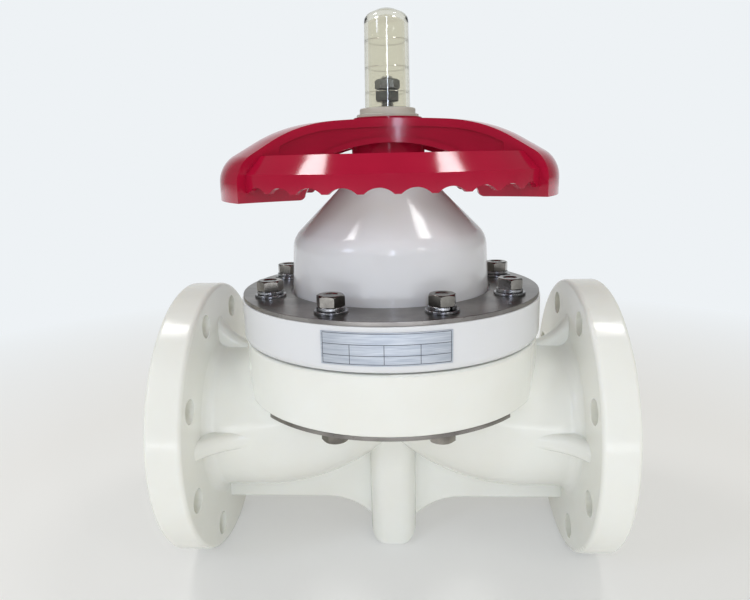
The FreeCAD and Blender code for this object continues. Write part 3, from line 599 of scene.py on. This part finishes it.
capOutside = [(cap["tube"] - cap["wall"], capBottom, 0.3), (cap["spigot"], capBottom, 0.3), (cap["spigot"], padTop),
              (cap["foot"], padTop, 0.3), (cap["foot"], padTop + cap["footHeight"], 0.8),
              (cap["flange"], padTop + cap["footHeight"]),
              (cap["flange"], tubeBottomHeight, 1.0), (cap["tube"], tubeBottomHeight, 0.6)]
for ringHeight in cap["rings"]:
    half = cap["ringWidth"] / 2
    capOutside += [(tubeRadius(ringHeight), ringHeight - half),
                   (tubeRadius(ringHeight) - cap["ringDepth"], ringHeight - half * 0.6),
                   (tubeRadius(ringHeight) - cap["ringDepth"], ringHeight + half * 0.6),
                   (tubeRadius(ringHeight), ringHeight + half)]
capOutside += [(cap["tubeTop"], tubeTopHeight), (16.5, capTop - 7.4), (15.1, capTop - 5.3), (13.2, capTop - 3.9),
               (11.0, capTop - 3.0), (7.5, capTop - 1.35), (3.8, capTop - 0.35), (0, capTop)]
capInside = [(0, capTop - 2.9), (3.4, capTop - 3.2), (6.8, capTop - 4.2), (9.8, capTop - 5.7), (11.9, capTop - 7.2),
             (13.4, capTop - 9.2), (14.1, capTop - 11.5), (14.5, padTop + 20)]
indicatorCap = turnPiece("clearCap", capOutside + capInside, steps=72, closed=True)
smoothPiece(indicatorCap, 30)
settle(indicatorCap, "wheel", capPlastic, "clear_plastic", "indicator_cap")

stops = {"flats": 17.0, "lower": (374.6, 383.5, 30.0), "upper": (383.5, 391.3, 0.0), "bore": 4.9}
for stopName in ("lower", "upper"):
    low, high, turn = stops[stopName]
    stopNut = turnPiece(stopName + "StopNut", [(stops["bore"] - 0.5, low + 1.1), (stops["bore"] + 0.6, low),
                                               (7.9, low), (9.9, low + 1.15), (9.9, high - 1.15), (7.9, high),
                                               (stops["bore"] + 0.6, high), (stops["bore"] - 0.5, high - 1.1)],
                        steps=60, closed=True)
    cutFlats(stopNut, stops["flats"], turn)
    softenEdges(stopNut, fasteners["edge"])
    smoothPiece(stopNut, 25)
    settle(stopNut, "stem", blackenedSteel, "dark_steel", "stop_nuts")

stemShape = {"radius": 11.0, "lead": 6.0, "depth": 2.6, "plain": 92.0, "threadRadius": 5.0, "pitch": 1.5,
             "threadDepth": 0.85}
stemBottom = bottomOf("stem")
stemTop = topOf("stem")
shoulder = stemTop - 32


def threadedRod(name, radius, depth, pitch, low, high, steps, crest):
    # One tooth of the thread is drawn and wound up the stem, then trimmed square at both ends
    turns = int((high - low) / pitch) + 3
    start = low - 1.5 * pitch
    flat = pitch * crest
    piece = drawProfile(name, [(radius - depth, start), (radius - depth, start + flat * 0.9),
                               (radius, start + pitch / 2), (radius, start + pitch / 2 + flat),
                               (radius - depth, start + pitch)], False)
    applyModifier(piece, "SCREW", {"angle": math.radians(360), "screw_offset": pitch * mm, "iterations": turns,
                                   "steps": steps, "render_steps": steps, "axis": "Z", "use_merge_vertices": True,
                                   "merge_threshold": 0.000002})
    pickOnly(piece)
    bpy.ops.object.mode_set(mode="EDIT")
    for height, way in ((low, -1), (high, 1)):
        bpy.ops.mesh.select_all(action="SELECT")
        bpy.ops.mesh.bisect(plane_co=(0, 0, height * mm), plane_no=(0, 0, way), use_fill=True, clear_outer=True)
    bpy.ops.mesh.select_all(action="SELECT")
    bpy.ops.mesh.normals_make_consistent(inside=False)
    bpy.ops.object.mode_set(mode="OBJECT")
    return piece


plainPart = turnPiece("plainPart", [(0, stemBottom), (stemShape["radius"], stemBottom, 0.8),
                                    (stemShape["radius"], stemBottom + stemShape["plain"], 0.8),
                                    (0, stemBottom + stemShape["plain"])], steps=56)
stemThread = threadedRod("stemThread", stemShape["radius"], stemShape["depth"], stemShape["lead"],
                         stemBottom + stemShape["plain"] - 2, shoulder, 40, 0.3)
endThread = threadedRod("endThread", stemShape["threadRadius"], stemShape["threadDepth"], stemShape["pitch"],
                        shoulder - 1, stemTop - 0.8, 28, 0.12)
endTip = turnPiece("endTip", [(0, stemTop - 2), (4.2, stemTop - 2), (4.2, stemTop - 0.6, 0.3), (3.6, stemTop),
                              (0, stemTop)], steps=40)
stem = joinPieces([plainPart, stemThread, endThread, endTip])
stem.name = "threadedStem"
smoothPiece(stem)
settle(stem, "stem", turnedSteel, "stainless", "stem")
print("cap, stop nuts and stem made")

# Radius and height of the under side of the sheet, from the middle to the rim
dish = {"bowl": 50.0, "slope": 55.0, "rimCurve": 10.0, "sheet": 2.2, "soft": 0.3, "cushion": 4.1, "rim": 90.0,
        "boss": 12.0, "bossTop": 137.1}
dishBottom = bottomOf("diaphragm")
dishSeat = topOf("diaphragm") - dish["sheet"]


def dishLine(layer, count):
    slope = math.radians(dish["slope"])
    middle = dishBottom + dish["bowl"]
    foot = (dish["bowl"] * math.sin(slope), middle - dish["bowl"] * math.cos(slope))
    rise = dishSeat - dish["rimCurve"] * (1 - math.cos(slope)) - foot[1]
    rimPlace = foot[0] + rise / math.tan(slope) + dish["rimCurve"] * math.sin(slope)
    line = []
    for k in range(count + 1):
        turn = slope * k / count
        line.append(((dish["bowl"] - layer) * math.sin(turn), middle - (dish["bowl"] - layer) * math.cos(turn)))
    for k in range(count + 1):
        turn = slope * (1 - k / count)
        reach = dish["rimCurve"] + layer
        line.append((rimPlace - reach * math.sin(turn), dishSeat - dish["rimCurve"] + reach * math.cos(turn)))
    line.append((dish["rim"], dishSeat + layer))
    full = []
    for a, b in zip(line, line[1:]):
        full += [(a[0] + (b[0] - a[0]) * k / 3, a[1] + (b[1] - a[1]) * k / 3) for k in range(3)]
    return full + [line[-1]]


under = dishLine(0, 7)
over = [p for p in dishLine(dish["sheet"], 7) if p[0] > dish["boss"] + 1.0]
sheetOutline = under + over[::-1] + [(dish["boss"], dishBottom + 4.6), (dish["boss"], dish["bossTop"], 0.8),
                                     (0, dish["bossTop"])]
diaphragmSheet = turnPiece("diaphragmSheet", sheetOutline, steps=72, closed=False)
smoothPiece(diaphragmSheet, 40)
useMaterial(diaphragmSheet, whitePtfe)
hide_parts("diaphragm")
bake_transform(diaphragmSheet)

lower = [p for p in dishLine(dish["sheet"] + dish["soft"], 7) if p[0] > dish["boss"] + 0.4]
upper = [p for p in dishLine(dish["sheet"] + dish["soft"] + dish["cushion"], 7) if p[0] > dish["boss"] + 0.4]
cushion = turnPiece("diaphragmCushion", lower + upper[::-1], steps=72, closed=True)
smoothPiece(cushion, 40)
useMaterial(cushion, blackEpdm)
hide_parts("diaphragm_cushion")
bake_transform(cushion)
print("diaphragm made")

studio = {"floor": "#F1F0ED", "backdrop": "#EEF2F5", "room": 0.56, "roomColour": "#FFFBF2",
          "mirroredRoom": 0.15}
bpy.ops.object.select_all(action="DESELECT")
bpy.ops.mesh.primitive_plane_add(size=12, location=(0, 0, -0.0002))
floor = bpy.context.object
floor.name = "floor"
floorMaterial, floorTree = newMaterial("palePaperFloor")
floorPlace = addNode(floorTree, "ShaderNodeTexCoord")
# Paper near the valve takes its shadow, and further out it fades into the white behind
floorFade = addNode(floorTree, "ShaderNodeTexGradient", {"gradient_type": "SPHERICAL"},
                    {"Vector": addNode(floorTree, "ShaderNodeMapping", {"Scale": (0.9, 0.9, 0.9)},
                                       {"Vector": floorPlace.outputs["Object"]}).outputs[0]})
floorShare = addNode(floorTree, "ShaderNodeMapRange", {"From Min": 0.05, "From Max": 0.6, "To Min": 0.0,
                                                      "To Max": 0.72, "clamp": True},
                     {"Value": floorFade.outputs["Fac"]})
lightPath = addNode(floorTree, "ShaderNodeLightPath")
paper = addNode(floorTree, "ShaderNodeBsdfDiffuse", {"Color": linear(studio["floor"])})
glow = addNode(floorTree, "ShaderNodeEmission", {"Color": linear(studio["backdrop"]), "Strength": 1.0})
seen = addNode(floorTree, "ShaderNodeMixShader", {}, {0: floorShare.outputs["Result"], 1: glow.outputs[0],
                                                      2: paper.outputs[0]})

seenRay = addNode(floorTree, "ShaderNodeMath", {"operation": "MAXIMUM"},
                  {0: lightPath.outputs["Is Camera Ray"], 1: lightPath.outputs["Is Transmission Ray"]})
seenOrMirrored = addNode(floorTree, "ShaderNodeMath", {"operation": "MAXIMUM"},
                         {0: seenRay.outputs[0], 1: lightPath.outputs["Is Glossy Ray"]})
floorMix = addNode(floorTree, "ShaderNodeMixShader", {}, {0: seenOrMirrored.outputs[0], 1: paper.outputs[0],
                                                          2: seen.outputs[0]})
addNode(floorTree, "ShaderNodeOutputMaterial", {}, {"Surface": floorMix.outputs[0]})
useMaterial(floor, floorMaterial)

world = bpy.data.worlds.new("studioRoom")
bpy.context.scene.world = world
world.use_nodes = True
world.node_tree.nodes.clear()
worldTree = world.node_tree
# The backdrop stands behind the valve, and what the valve mirrors from the front is only the dim room
worldRays = addNode(worldTree, "ShaderNodeLightPath")
way = addNode(worldTree, "ShaderNodeSeparateXYZ", {},
              {"Vector": addNode(worldTree, "ShaderNodeTexCoord").outputs["Generated"]})
behind = addNode(worldTree, "ShaderNodeMapRange",
                 {"From Min": 0.7, "From Max": 1.0, "To Min": studio["mirroredRoom"], "clamp": True},
                 {"Value": way.outputs["Y"]})
roomLight = addNode(worldTree, "ShaderNodeBackground",
                    {"Color": linear(studio["roomColour"]), "Strength": studio["room"]})
roomMirrored = addNode(worldTree, "ShaderNodeBackground", {"Color": linear(studio["backdrop"])},
                       {"Strength": behind.outputs["Result"]})
backdrop = addNode(worldTree, "ShaderNodeBackground", {"Color": linear(studio["backdrop"]), "Strength": 1.0})
aroundValve = addNode(worldTree, "ShaderNodeMixShader", {},
                      {0: worldRays.outputs["Is Glossy Ray"], 1: roomLight.outputs[0], 2: roomMirrored.outputs[0]})
seenDirectly = addNode(worldTree, "ShaderNodeMath", {"operation": "MAXIMUM"},
                       {0: worldRays.outputs["Is Camera Ray"], 1: worldRays.outputs["Is Transmission Ray"]})
worldMix = addNode(worldTree, "ShaderNodeMixShader", {},
                   {0: seenDirectly.outputs[0], 1: aroundValve.outputs[0], 2: backdrop.outputs[0]})
addNode(worldTree, "ShaderNodeOutputWorld", {}, {"Surface": worldMix.outputs[0]})


def addLamp(name, place, target, size, power, colour):
    bpy.ops.object.select_all(action="DESELECT")
    bpy.ops.object.light_add(type="AREA", location=place)
    lamp = bpy.context.object
    lamp.name = name
    lamp.data.shape = "ELLIPSE"
    lamp.data.size, lamp.data.size_y = size
    lamp.data.energy = power
    lamp.data.color = linear(colour)[:3]
    lamp.rotation_euler = (Vector(target) - Vector(place)).to_track_quat("-Z", "Y").to_euler()


# Where each lamp stands, what it faces, its width and height in metres, its watts and its colour
lamps = {"keyWindow": ((1.05, -1.25, 1.15), (0, 0, 0.22), (0.2, 0.35), 1.6, "#FFFFFF"),
         "fillCloth": ((-1.2, -1.1, 1.0), (0, 0, 0.2), (0.35, 0.45), 3.2, "#DDE7FF"),
         "windowLeft": ((-0.8, 0.05, 1.6), (0, 0, 0.2), (0.35, 0.35), 4.4, "#FFFFFF"),
         "windowRight": ((0.65, 0.0, 1.65), (0, 0, 0.2), (0.25, 0.3), 3.2, "#FFFFFF"),
         "stripWindow": ((0.12, -1.5, 0.75), (0, 0, 0.25), (0.1, 0.8), 3.4, "#DDE7FF"),
         "tableBounce": ((0, -1.0, 0.06), (0, 0, 0.1), (1.4, 0.12), 1.6, "#F4F8FF")}
for lampName, lamp in lamps.items():
    addLamp(lampName, *lamp)
print("floor and lights made")
